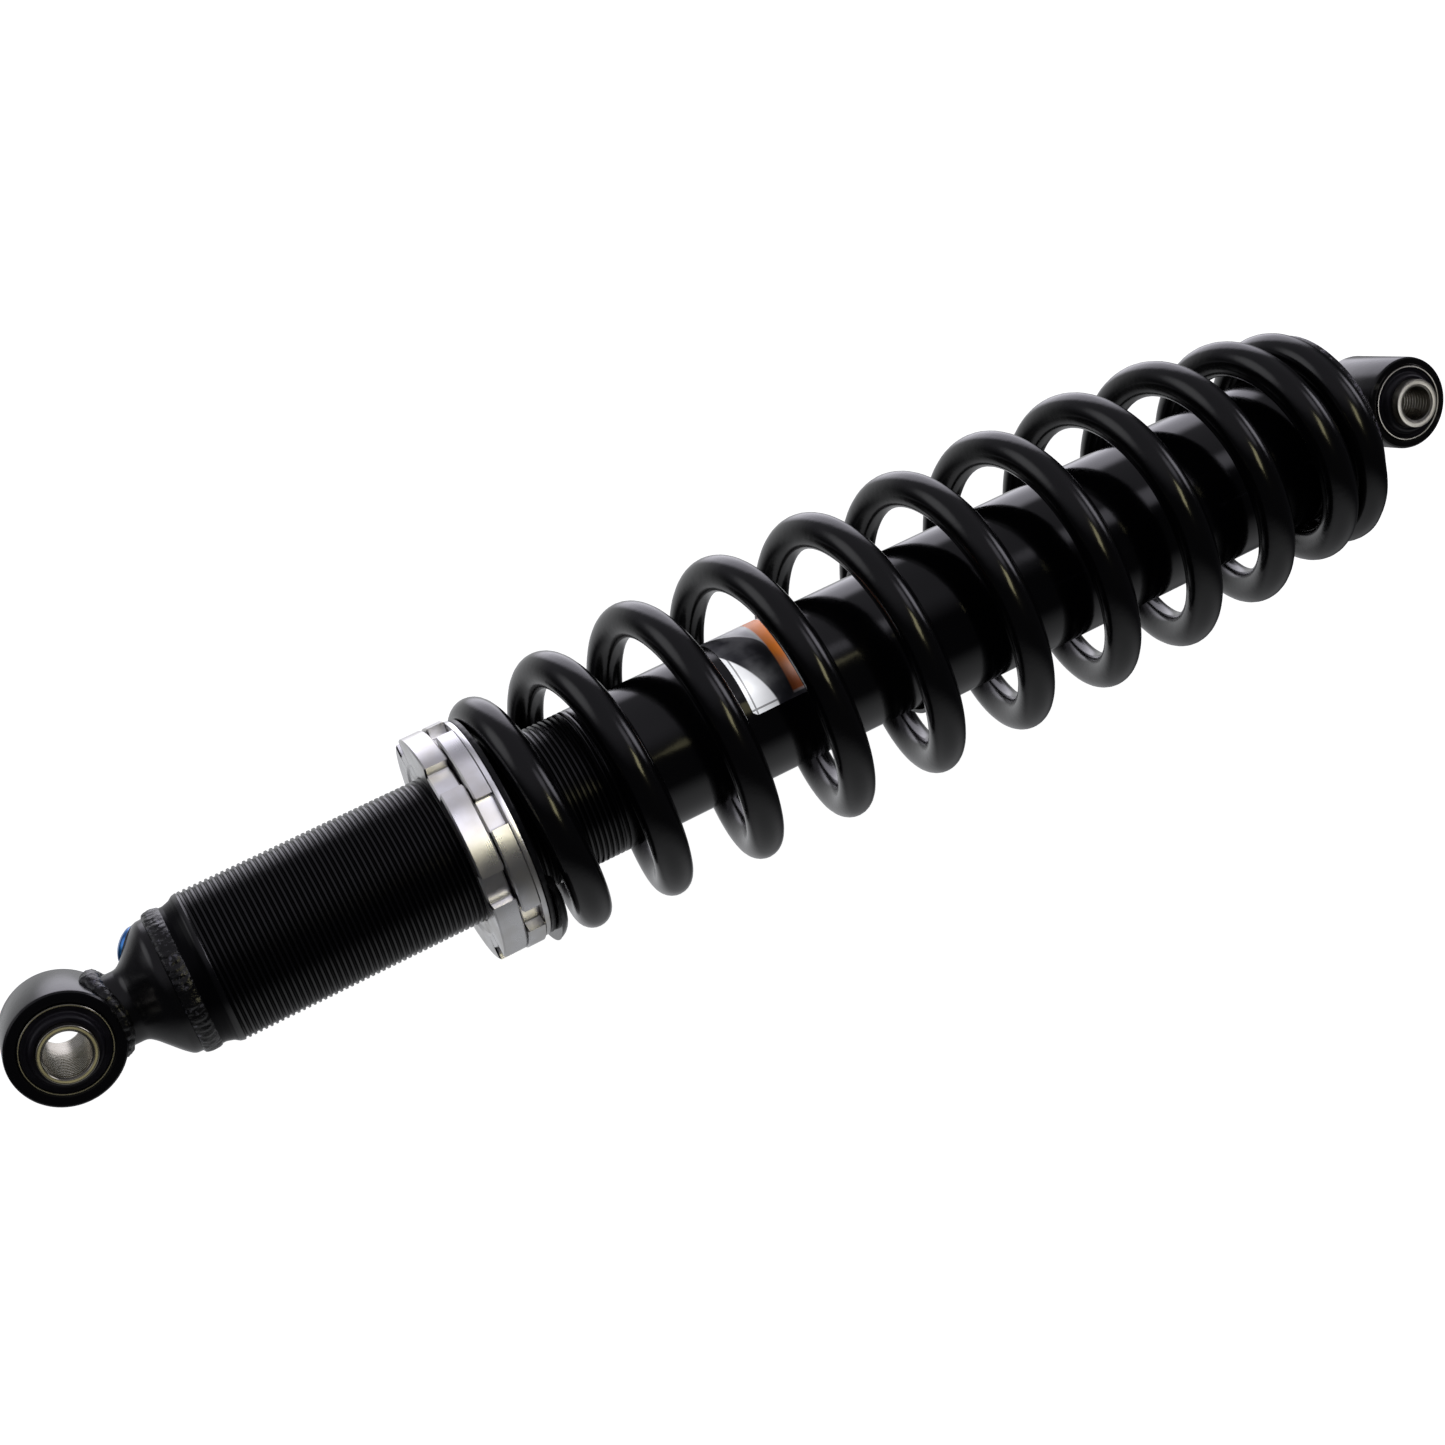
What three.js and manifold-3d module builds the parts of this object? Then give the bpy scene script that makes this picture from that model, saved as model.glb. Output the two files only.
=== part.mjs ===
// Coil-over gas shock absorber for a quad or side-by-side vehicle.
// Millimetres. +X runs along the shock from the body eye to the rod eye, +Z along both eye bolts.
// The origin is the centre of the body eye's bore.
import * as THREE from 'three';
import { mergeVertices } from 'three/addons/utils/BufferGeometryUtils.js';
import Module from 'manifold-3d';

const wasm = await Module();
wasm.setup();

// ---------------------------------------------------------------- driving dimensions
const EYE_TO_EYE = 444;            // at full extension
const STROKE = 100;                // rod travel until the bump stop meets the seal head
const CUT_GAP = 0.3;               // gap left where one piece is shaped by another

const ROUND_BIG = 32;              // facets round a large turned piece
const ROUND_MID = 20;
const ROUND_SMALL = 16;

const bodyEye = {
  ringR: 16, ringHalf: 11, shellR: 12.35, rubberR: 11.0, sleeveR: 8.0, boreR: 6.2, sleeveHalf: 15.5,
};
const rodEye = {
  ringR: 14.3, ringHalf: 13.7, shellR: 11.6, rubberR: 10.3, sleeveR: 7.5, boreR: 5.25, sleeveHalf: 18.3,
};
const SHELL_WALL = 1.25;
const EYE_CHAMFER = 1.6;

const TUBE_R = 22;                 // crest of the fine thread, and the smooth tube after it
const BORE_R = 19;
const TUBE_START = 33.5;
const TUBE_END = 286;
const WELD_NECK_R = 20.2;          // cap and tube where they are welded together
const CAP_NECK_R = 10.3;

const NUT_R = 34;
const NUT_HOLE_R = 22.15;
const FLANGE_R = 33.2;             // the plain rim of the preload nut, beside its lugs
const NOTCH_COUNT = 6;
const NOTCH_WIDTH = 9.5;
const NOTCH_FLOOR_R = 30.2;
const LOCK_RING_X = 113.7;
const LOCK_RING_WIDTH = 7;
const PRELOAD_NUT_X = 121.3;
const PRELOAD_LUG_WIDTH = 5.6;
const FLANGE_WIDTH = 1.5;

const WIRE_R = 5.35;
const SPRING_START = 130.5;        // the two ground ends of the spring
const SPRING_END = 416.2;
const SPRING_MID_R = 44 - WIRE_R;  // mean coil radius of the middle coils
const COIL_LEAN = 2.4;             // how far the loaded coils lean along the shock
const COIL_BOW = 1.2;              // and how far they bow to the side

const ROD_R = 6.25;
const ROD_END = 427.2;             // the rod's end inside the stem of the rod eye
const STEM_R = 11.2;
const SEAL_HEAD_X = 258;
const PISTON_X = 232;
const FLOATING_PISTON_X = 100;
const O_RING_R = 17.55;            // centre line of both O-rings
const SHROUD_START = 258.5;
const SHROUD_R = 24.5;
const RETAINER_X = 416.5;
const RETAINER_R = 32.8;
const RETAINER_THICK = 3.8;

const LABEL = { x0: 204.3, x1: 223.6, from: -35, to: 82 };   // degrees from +Y towards +Z
const VALVE = { x: 26.4, fromAxis: 14.2, turn: 125 };        // degrees from +Z towards +Y

// ---------------------------------------------------------------- materials
function paint(color, roughness, metalness) {
  return new THREE.MeshStandardMaterial({ color, roughness, metalness });
}
const blackPaint = () => paint(0x17171a, 0.35, 0.1);
const powderCoat = () => paint(0x1b1b20, 0.25, 0.1);
const blackAnodised = () => paint(0x1e1e21, 0.45, 0.6);
const brightSteel = () => paint(0xc9c6bd, 0.3, 1.0);
const machinedAlloy = () => paint(0xdcdbd6, 0.35, 0.9);
const hardChrome = () => paint(0xd5d8dc, 0.1, 1.0);
const blackRubber = () => paint(0x1c1b20, 0.8, 0.0);
const weldMetal = () => paint(0x2a2c2e, 0.4, 0.6);

// ---------------------------------------------------------------- helpers
function closed(geometry) {
  const g = geometry.index ? geometry.toNonIndexed() : geometry;
  g.deleteAttribute('normal');
  g.deleteAttribute('uv');
  const merged = mergeVertices(g, 1e-4);
  return dropSlivers(merged);
}

// Removes triangles that merged vertices collapsed, and turns the faces outwards.
function dropSlivers(geometry) {
  const index = geometry.index.array;
  const p = geometry.attributes.position;
  const kept = [];
  let volume = 0;
  const a = new THREE.Vector3();
  const b = new THREE.Vector3();
  const c = new THREE.Vector3();
  for (let i = 0; i < index.length; i += 3) {
    const [u, v, w] = [index[i], index[i + 1], index[i + 2]];
    if (u === v || v === w || w === u) continue;
    kept.push(u, v, w);
    a.fromBufferAttribute(p, u);
    b.fromBufferAttribute(p, v);
    c.fromBufferAttribute(p, w);
    volume += a.dot(b.cross(c));
  }
  if (volume < 0) {
    for (let i = 0; i < kept.length; i += 3) [kept[i], kept[i + 1]] = [kept[i + 1], kept[i]];
  }
  geometry.setIndex(kept);
  return geometry;
}

// A closed loop of [position along the axis, radius] points, turned about +Y.
function latheAboutY(profile, facets) {
  const points = profile.map(([x, r]) => new THREE.Vector2(r, x));
  const onAxis = profile[0][1] === 0 && profile.at(-1)[1] === 0;
  if (!onAxis) points.push(points[0].clone());
  return new THREE.LatheGeometry(points, facets);
}
const turnedX = (profile, facets = ROUND_BIG) => closed(latheAboutY(profile, facets).rotateZ(-Math.PI / 2));
const turnedZ = (profile, facets = ROUND_MID) => closed(latheAboutY(profile, facets).rotateX(Math.PI / 2));

// A plain ring about X, with a chamfer on each outer edge.
function ringX(x0, x1, inner, outer, facets = ROUND_SMALL, chamfer = 0.3) {
  const profile = [
    [x0, inner], [x0, outer - chamfer], [x0 + chamfer, outer],
    [x1 - chamfer, outer], [x1, outer - chamfer], [x1, inner],
  ];
  return turnedX(profile, facets);
}

function toSolid(geometry) {
  return new wasm.Manifold(new wasm.Mesh({
    numProp: 3,
    vertProperties: new Float32Array(geometry.attributes.position.array),
    triVerts: new Uint32Array(geometry.index.array),
  }));
}

function toGeometry(solid) {
  const mesh = solid.getMesh();
  const geometry = new THREE.BufferGeometry();
  geometry.setAttribute('position', new THREE.BufferAttribute(new Float32Array(mesh.vertProperties), 3));
  geometry.setIndex(new THREE.BufferAttribute(new Uint32Array(mesh.triVerts), 1));
  return geometry;
}

const minus = (geometry, ...cutters) =>
  toGeometry(cutters.reduce((solid, cutter) => solid.subtract(toSolid(cutter)), toSolid(geometry)));
const plus = (one, two) => toGeometry(toSolid(one).add(toSolid(two)));

// A drill: a cylinder from `from` along `direction`, `length` long.
function drill(from, direction, length, radius, facets = 12) {
  const g = new THREE.CylinderGeometry(radius, radius, length, facets);
  g.translate(0, length / 2, 0);
  g.applyQuaternion(new THREE.Quaternion().setFromUnitVectors(new THREE.Vector3(0, 1, 0), direction));
  g.translate(from.x, from.y, from.z);
  return closed(g);
}

const barrelCutter = (x, radius) => {
  const g = new THREE.CylinderGeometry(radius, radius, 80, 40);
  g.rotateX(Math.PI / 2);
  g.translate(x, 0, 0);
  return closed(g);
};

const shock = new THREE.Group();
function add(name, geometry, material, x = 0) {
  const mesh = new THREE.Mesh(geometry, material);
  mesh.name = name;
  mesh.position.x = x;
  shock.add(mesh);
}

// ---------------------------------------------------------------- eyes and their bushes
function eyeRing({ ringR, ringHalf, shellR }, chamfer) {
  const hole = shellR + 0.05;
  return turnedZ([
    [-ringHalf, hole], [-ringHalf, ringR - chamfer], [-ringHalf + chamfer, ringR],
    [ringHalf - chamfer, ringR], [ringHalf, ringR - chamfer], [ringHalf, hole],
  ], ROUND_BIG);
}

function bushShell({ ringHalf, shellR }) {
  const half = ringHalf + 0.3;
  const inner = shellR - SHELL_WALL;
  return turnedZ([
    [-half, inner], [-half, shellR - 0.25], [-half + 0.25, shellR],
    [half - 0.25, shellR], [half, shellR - 0.25], [half, inner],
  ], ROUND_BIG);
}

// Rubber moulded between shell and sleeve, with a raised collar round the sleeve at both ends.
function bushRubber({ ringHalf, rubberR, sleeveR }) {
  const inner = sleeveR + 0.1;
  const collar = inner + 0.5 * (rubberR - inner);
  const end = [
    [ringHalf - 0.5, rubberR], [ringHalf + 0.5, collar + 0.2],
    [ringHalf + 1.3, collar - 0.1], [ringHalf + 1.5, inner],
  ];
  const start = end.map(([z, r]) => [-z, r]).reverse();
  return turnedZ([...start, ...end]);
}

function bushSleeve({ sleeveR, boreR, sleeveHalf }) {
  const lead = 0.5;
  return turnedZ([
    [-sleeveHalf, boreR + lead], [-sleeveHalf, sleeveR - 0.3], [-sleeveHalf + 0.3, sleeveR],
    [sleeveHalf - 0.3, sleeveR], [sleeveHalf, sleeveR - 0.3], [sleeveHalf, boreR + lead],
    [sleeveHalf - lead, boreR], [-sleeveHalf + lead, boreR],
  ]);
}

add('body_eye_ring', eyeRing(bodyEye, EYE_CHAMFER), blackPaint());
add('body_eye_shell', bushShell(bodyEye), brightSteel());
add('body_eye_rubber', bushRubber(bodyEye), blackRubber());
add('body_eye_sleeve', bushSleeve(bodyEye), brightSteel());
add('rod_eye_shell', bushShell(rodEye), brightSteel(), EYE_TO_EYE);
add('rod_eye_rubber', bushRubber(rodEye), blackRubber(), EYE_TO_EYE);
add('rod_eye_sleeve', bushSleeve(rodEye), brightSteel(), EYE_TO_EYE);

// Rod eye: a ring forged in one with a stem that passes through the retainer and takes the rod.
{
  const stemStart = RETAINER_X - 1.5;
  const stemEnd = EYE_TO_EYE - 8;
  const rodHoleR = ROD_R + 0.15;
  const rodHoleEnd = ROD_END + 0.4;
  const ring = eyeRing(rodEye, 1.2).translate(EYE_TO_EYE, 0, 0);
  const stem = turnedX([[stemStart, 0], [stemStart, STEM_R], [stemEnd, STEM_R], [stemEnd, 0]], ROUND_MID);
  const rodHole = turnedX([
    [stemStart - 1, 0], [stemStart - 1, rodHoleR], [rodHoleEnd, rodHoleR], [rodHoleEnd, 0],
  ], ROUND_SMALL);
  const holeR = rodEye.shellR + 0.05;
  const eyeHole = turnedZ([[-30, 0], [-30, holeR], [30, holeR], [30, 0]], ROUND_BIG);
  eyeHole.translate(EYE_TO_EYE, 0, 0);
  add('rod_eye', minus(plus(ring, stem), eyeHole, rodHole), blackPaint());
}
{
  const x = RETAINER_X + RETAINER_THICK + 0.3;
  const inner = STEM_R + 0.2;
  const bead = turnedX([[x, inner], [x, 14.2], [x + 1.3, 13.4], [x + 3, inner]], ROUND_MID);
  add('rod_eye_weld', bead, weldMetal());
}

// ---------------------------------------------------------------- end cap, gas valve and welds
// Centre of the gas valve on the cap's cone, and the direction it faces.
const valveAngle = THREE.MathUtils.degToRad(VALVE.turn);
const valveRadial = new THREE.Vector3(0, Math.sin(valveAngle), Math.cos(valveAngle));
const valveFace = new THREE.Vector3(VALVE.x, 0, 0).addScaledVector(valveRadial, VALVE.fromAxis);
const valveOut = new THREE.Vector3(-0.757, 0, 0).addScaledVector(valveRadial, 0.653).normalize();
const alongValve = (distance) => valveFace.clone().addScaledVector(valveOut, distance);
const valveIn = valveOut.clone().negate();

const capProfile = [
  [11, 0], [11, CAP_NECK_R], [19.6, CAP_NECK_R], [21.3, 11.8], [26.3, 17.4], [28.4, 19.2],
  [30.6, WELD_NECK_R], [33.2, WELD_NECK_R], [33.2, 18.9], [42, 18.9], [42, 14], [38, 12], [38, 0],
];
const cap = minus(
  turnedX(capProfile),
  barrelCutter(0, bodyEye.ringR + CUT_GAP),
  drill(alongValve(-1.0), valveOut, 10, 6.2, 16),
  drill(alongValve(1), valveIn, 10.5, 3.7, 12),
  drill(alongValve(-5), valveIn, 20, 1.2, 6),
);
add('end_cap', cap, blackPaint());

function alongValveAxis(profile, facets) {
  const g = latheAboutY(profile, facets);
  g.applyQuaternion(new THREE.Quaternion().setFromUnitVectors(new THREE.Vector3(0, 1, 0), valveOut));
  g.translate(valveFace.x, valveFace.y, valveFace.z);
  return closed(g);
}
add('gas_valve_cap', alongValveAxis([
  [-4.2, 0], [-4.2, 3.4], [-0.7, 3.4], [-0.7, 5.3], [0.0, 5.7], [1.8, 5.7], [3.0, 4.8], [3.9, 2.8], [4.1, 0],
], ROUND_SMALL), paint(0x1668c4, 0.2, 0.5));
const valveCore = alongValveAxis([[-9, 0], [-9, 2.6], [-4.7, 3.3], [-4.7, 0]], 12);
add('gas_valve_core', valveCore, paint(0xb8963c, 0.35, 1));

add('cap_weld', turnedX([
  [31.2, WELD_NECK_R + 0.1], [31.8, 20.9], [33.5, 21.2], [35.2, 20.9], [35.8, WELD_NECK_R + 0.1],
]), weldMetal());

// Bead where the cap's neck meets the round outside of the eye ring.
{
  const collar = turnedX([[5, CAP_NECK_R + 0.1], [5, 12.9], [19, 12.9], [19, CAP_NECK_R + 0.1]]);
  const bead = toSolid(collar).intersect(toSolid(barrelCutter(0, bodyEye.ringR + 2.6)));
  add('body_eye_weld', minus(toGeometry(bead), barrelCutter(0, bodyEye.ringR + CUT_GAP)), weldMetal());
}

// ---------------------------------------------------------------- damper tube and its label
const snapGroove = { x0: 282.0, x1: 283.5, r: 20.0 };
add('damper_tube', turnedX([
  [TUBE_START, BORE_R], [TUBE_START, WELD_NECK_R], [TUBE_START + 4.1, WELD_NECK_R], [TUBE_START + 6.1, 20.9],
  [TUBE_START + 7.5, TUBE_R - 0.2], [TUBE_START + 8.5, TUBE_R],
  [TUBE_END - 0.8, TUBE_R], [TUBE_END, TUBE_R - 0.8], [TUBE_END, BORE_R], [snapGroove.x1, BORE_R],
  [snapGroove.x1, snapGroove.r], [snapGroove.x0, snapGroove.r], [snapGroove.x0, BORE_R],
]), blackAnodised());

// A flat outline in the YZ plane, given a thickness along X. Angles run from +Y towards +Z.
function plateX(shape, x0, x1, curveSegments) {
  const g = new THREE.ExtrudeGeometry(shape, { depth: x1 - x0, bevelEnabled: false, curveSegments });
  g.rotateY(Math.PI / 2);
  g.rotateX(Math.PI / 2);
  g.translate(x0, 0, 0);
  return closed(g);
}

function arcStrip(inner, outer, from, to) {
  const shape = new THREE.Shape();
  shape.absarc(0, 0, outer, from, to, false);
  shape.absarc(0, 0, inner, to, from, true);
  return shape;
}
{
  const from = THREE.MathUtils.degToRad(LABEL.from);
  const to = THREE.MathUtils.degToRad(LABEL.to);
  const film = arcStrip(TUBE_R + 0.05, TUBE_R + 0.2, from, to);
  add('tube_label', plateX(film, LABEL.x0, LABEL.x1, 10), paint(0xb9bcc0, 0.3, 0.3));
}

// ---------------------------------------------------------------- collars, isolator and spring
function notchCutters(x0, x1, firstAngle) {
  return Array.from({ length: NOTCH_COUNT }, (_, i) => {
    const box = new THREE.BoxGeometry(x1 - x0, 10, NOTCH_WIDTH);
    box.translate((x0 + x1) / 2, NOTCH_FLOOR_R + 5, 0);
    box.rotateX(firstAngle + (i * 2 * Math.PI) / NOTCH_COUNT);
    return closed(box);
  });
}

// First notch angles are from +Y towards +Z.
const lockNotch = THREE.MathUtils.degToRad(38.9);
const preloadNotch = THREE.MathUtils.degToRad(4.6);
{
  const x = LOCK_RING_X;
  const end = x + LOCK_RING_WIDTH;
  const blank = turnedX([
    [x, NUT_HOLE_R], [x, 25.8], [x + 0.4, 26.2], [x + 1.0, NUT_R - 1], [x + 1.8, NUT_R],
    [end - 0.7, NUT_R], [end, NUT_R - 0.7], [end, NUT_HOLE_R],
  ]);
  add('lock_ring', minus(blank, ...notchCutters(x - 1, end + 1, lockNotch)), machinedAlloy());
}
{
  const x = PRELOAD_NUT_X;
  const flange = x + PRELOAD_LUG_WIDTH;
  const end = flange + FLANGE_WIDTH;
  const blank = turnedX([
    [x, NUT_HOLE_R], [x, NUT_R - 0.8], [x + 0.7, NUT_R], [flange - 0.7, NUT_R], [flange, NUT_R - 0.7],
    [flange, FLANGE_R], [end, FLANGE_R], [end, NUT_HOLE_R],
  ]);
  add('preload_nut', minus(blank, ...notchCutters(x - 1, flange, preloadNotch)), machinedAlloy());
  const isolator = ringX(end + 0.2, SPRING_START - CUT_GAP, 22.6, FLANGE_R, ROUND_BIG, 0.2);
  add('spring_isolator', isolator, paint(0x202024, 0.6, 0));
}

// The spring's centre line: right-handed, closed and ground at both ends, barrel-shaped.
// The coils stand widest apart near the middle and close up towards the ends.
const coil = {
  firstTurn: -0.69, lastTurn: 10.8, startX: 127.9,
  endPitch: 11.5, widestPitch: 30.9, widestTurn: 4.9, narrowing: 0.28,
  taper: 7.9, taperBefore: 235, taperAfter: 330,
};
const spread = (from, to, value) => THREE.MathUtils.smoothstep(value, from, to);
function coilPitch(turn) {
  const openPitch = coil.widestPitch - coil.narrowing * (turn - coil.widestTurn) ** 2;
  const open = spread(0.05, 0.5, turn) * (1 - spread(9.1, 9.7, turn));
  return coil.endPitch + (openPitch - coil.endPitch) * open;
}
const coilWindow = (turn) => spread(0, 1.5, turn) * (1 - spread(8, 10, turn));

// Position along the shock at every hundredth of a turn, summed from the pitch.
const coilStep = 0.01;
const coilX = [coil.startX];
for (let turn = coil.firstTurn; turn < coil.lastTurn + coilStep; turn += coilStep) {
  coilX.push(coilX.at(-1) + coilPitch(turn + coilStep / 2) * coilStep);
}
function coilCentre(turn) {
  const at = (turn - coil.firstTurn) / coilStep;
  const i = Math.min(Math.floor(at), coilX.length - 2);
  const x = THREE.MathUtils.lerp(coilX[i], coilX[i + 1], at - i);
  const left = THREE.MathUtils.clamp((coil.taperBefore - x) / 105, 0, 1);
  const right = THREE.MathUtils.clamp((x - coil.taperAfter) / 80, 0, 1);
  return { x, r: SPRING_MID_R - coil.taper * (left ** 2 + right ** 2) };
}

class SpringCurve extends THREE.Curve {
  getPoint(t, target = new THREE.Vector3()) {
    const turn = THREE.MathUtils.lerp(coil.firstTurn, coil.lastTurn, t);
    const angle = 2 * Math.PI * turn;
    const { x, r } = coilCentre(turn);
    const inside = coilWindow(turn);
    return target.set(
      x + COIL_LEAN * inside * Math.cos(angle),
      r * Math.cos(angle) + COIL_BOW * inside,
      r * Math.sin(angle),
    );
  }
}
{
  const wire = new THREE.Shape();
  wire.absarc(0, 0, WIRE_R, 0, 2 * Math.PI, false);
  const steps = Math.round((coil.lastTurn - coil.firstTurn) * 15);
  const g = new THREE.ExtrudeGeometry(wire, {
    steps, curveSegments: 4, bevelEnabled: false, extrudePath: new SpringCurve(),
  });
  const p = g.attributes.position;
  for (let i = 0; i < p.count; i += 1) p.setX(i, THREE.MathUtils.clamp(p.getX(i), SPRING_START, SPRING_END));
  add('coil_spring', closed(g), powderCoat());
}

// ---------------------------------------------------------------- inside the tube
const SLIDING_R = BORE_R - 0.1;
function oRing(x) {
  const ring = new THREE.TorusGeometry(O_RING_R, 1.25, 6, ROUND_MID);
  return closed(ring.rotateY(Math.PI / 2).translate(x, 0, 0));
}
{
  const x = FLOATING_PISTON_X;
  add('floating_piston', turnedX([
    [x + 16, 0], [x + 16, SLIDING_R], [x + 9.7, SLIDING_R], [x + 9.7, 16.2],
    [x + 6.3, 16.2], [x + 6.3, SLIDING_R], [x, SLIDING_R], [x, 15.5], [x + 11, 15.5], [x + 11, 0],
  ], ROUND_MID), paint(0xb4b6ba, 0.4, 0.9));
  add('floating_piston_o_ring', oRing(x + 8), blackRubber());
}

{
  const x = SEAL_HEAD_X;
  add('seal_head', turnedX([
    [x, 7], [x, SLIDING_R], [x + 5.9, SLIDING_R], [x + 5.9, 16.2], [x + 9.3, 16.2], [x + 9.3, SLIDING_R],
    [x + 23.7, SLIDING_R], [x + 23.7, 10.5], [x + 19, 10.5], [x + 19, 7.2], [x + 18.2, 7.2], [x + 18.2, 11.5],
    [x + 13, 11.5], [x + 13, 7], [x + 12, 7], [x + 12, 7.9], [x + 2, 7.9], [x + 2, 7],
  ], ROUND_MID), paint(0xb4b6ba, 0.4, 0.9));
  add('seal_head_o_ring', oRing(x + 7.6), blackRubber());
  add('rod_guide_bush', ringX(x + 2.1, x + 11.9, 6.35, 7.8), paint(0x6d6a55, 0.5, 0.3));
  add('oil_seal', ringX(x + 13.1, x + 18.1, 6.35, 11.3), blackRubber());
  add('wiper_seal', turnedX([
    [x + 19.1, 6.6], [x + 19.1, 10.3], [x + 23.6, 10.3], [x + 23.6, 8.2], [x + 25, 6.9], [x + 25, 6.35],
  ], ROUND_SMALL), blackRubber());
}
const openRing = arcStrip(17, snapGroove.r - 0.1, 0.15, 2 * Math.PI - 0.15);
add('snap_ring', plateX(openRing, snapGroove.x0 + 0.1, snapGroove.x1 - 0.1, 14), brightSteel());

// ---------------------------------------------------------------- rod and piston
add('piston_rod', turnedX([
  [PISTON_X - 11, 0], [PISTON_X - 11, 4.4], [PISTON_X - 10.5, 4.9],
  [PISTON_X + 15.7, 4.9], [PISTON_X + 15.7, ROD_R],
  [ROD_END - 0.7, ROD_R], [ROD_END, 5.6], [ROD_END, 0],
], ROUND_SMALL), hardChrome());
{
  const x = PISTON_X;
  const ports = Array.from({ length: 6 }, (_, i) => {
    const angle = (i * Math.PI) / 3;
    const from = new THREE.Vector3(x - 1, 12 * Math.cos(angle), 12 * Math.sin(angle));
    return drill(from, new THREE.Vector3(1, 0, 0), 16, 1.7, 6);
  });
  const blank = turnedX([
    [x, 5], [x, 18.4], [x + 0.5, 18.85], [x + 3, 18.85], [x + 3, 17.4], [x + 11, 17.4], [x + 11, 18.85],
    [x + 13.5, 18.85], [x + 14, 18.4], [x + 14, 5],
  ], ROUND_MID);
  add('piston', minus(blank, ...ports), paint(0x9a9ca0, 0.4, 0.9));
  add('piston_band', ringX(x + 3.1, x + 10.9, 17.5, SLIDING_R, ROUND_MID, 0.2), paint(0x4a5a4e, 0.6, 0));
  add('compression_shims', turnedX([
    [x - 0.1, 5], [x - 0.1, 15], [x - 0.9, 15], [x - 0.9, 12.5],
    [x - 1.7, 12.5], [x - 1.7, 9], [x - 2.5, 9], [x - 2.5, 5],
  ], ROUND_SMALL), brightSteel());
  add('rebound_shims', turnedX([
    [x + 14.1, 5], [x + 14.1, 15], [x + 14.8, 15], [x + 14.8, 11], [x + 15.6, 11], [x + 15.6, 5],
  ], ROUND_SMALL), brightSteel());
  const hexagon = new THREE.Shape();
  for (let i = 0; i < 6; i += 1) {
    const angle = (i * Math.PI) / 3;
    const corner = [8.7 * Math.cos(angle), 8.7 * Math.sin(angle)];
    if (i === 0) hexagon.moveTo(...corner);
    else hexagon.lineTo(...corner);
  }
  hexagon.closePath();
  hexagon.holes.push(new THREE.Path().absarc(0, 0, 5, 0, 2 * Math.PI, true));
  add('piston_nut', plateX(hexagon, x - 10, x - 2.6, 10), brightSteel());
}
const topOutBumper = ringX(SEAL_HEAD_X - 10, SEAL_HEAD_X - 0.3, 6.4, 12.5, ROUND_SMALL, 1.2);
add('top_out_bumper', topOutBumper, paint(0x8a8f3a, 0.7, 0));

const bumpStopX = TUBE_END + STROKE + 0.5;
add('bump_stop', turnedX([
  [bumpStopX, 6.5], [bumpStopX, 11], [bumpStopX + 3, 13], [bumpStopX + 8, 13], [bumpStopX + 11, 10.5],
  [bumpStopX + 14, 10.5], [bumpStopX + 17, 15], [bumpStopX + 25, 15], [bumpStopX + 25, 6.5],
], ROUND_SMALL), paint(0xcfc48a, 0.8, 0));
add('bump_washer', ringX(bumpStopX + 25.2, bumpStopX + 27.2, 6.5, 18), brightSteel());

// ---------------------------------------------------------------- shroud and spring retainer
add('shroud', turnedX([
  [SHROUD_START, SHROUD_R - 1.4], [SHROUD_START, SHROUD_R - 0.5], [SHROUD_START + 0.5, SHROUD_R],
  [RETAINER_X - 0.3, SHROUD_R], [RETAINER_X - 0.3, SHROUD_R - 1.4],
]), blackPaint());
{
  const x = RETAINER_X;
  const end = x + RETAINER_THICK;
  add('spring_retainer', turnedX([
    [x - 2.2, 11.6], [x - 2.2, 22.9], [x, 22.9], [x, RETAINER_R], [x + 1.5, RETAINER_R],
    [end - 0.4, RETAINER_R - 2.4], [end, RETAINER_R - 3.2], [end, 11.6],
  ]), blackPaint());
}

export default shock;
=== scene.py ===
"""Coil-over gas shock absorber on a pale studio floor.

Shapes below are in millimetres and become metres when a mesh is made. +X runs from the body eye to the
rod eye and +Z along the eye bolts. Round the shock, an angle starts at +Y and grows towards +Z.
"""
import math

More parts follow.
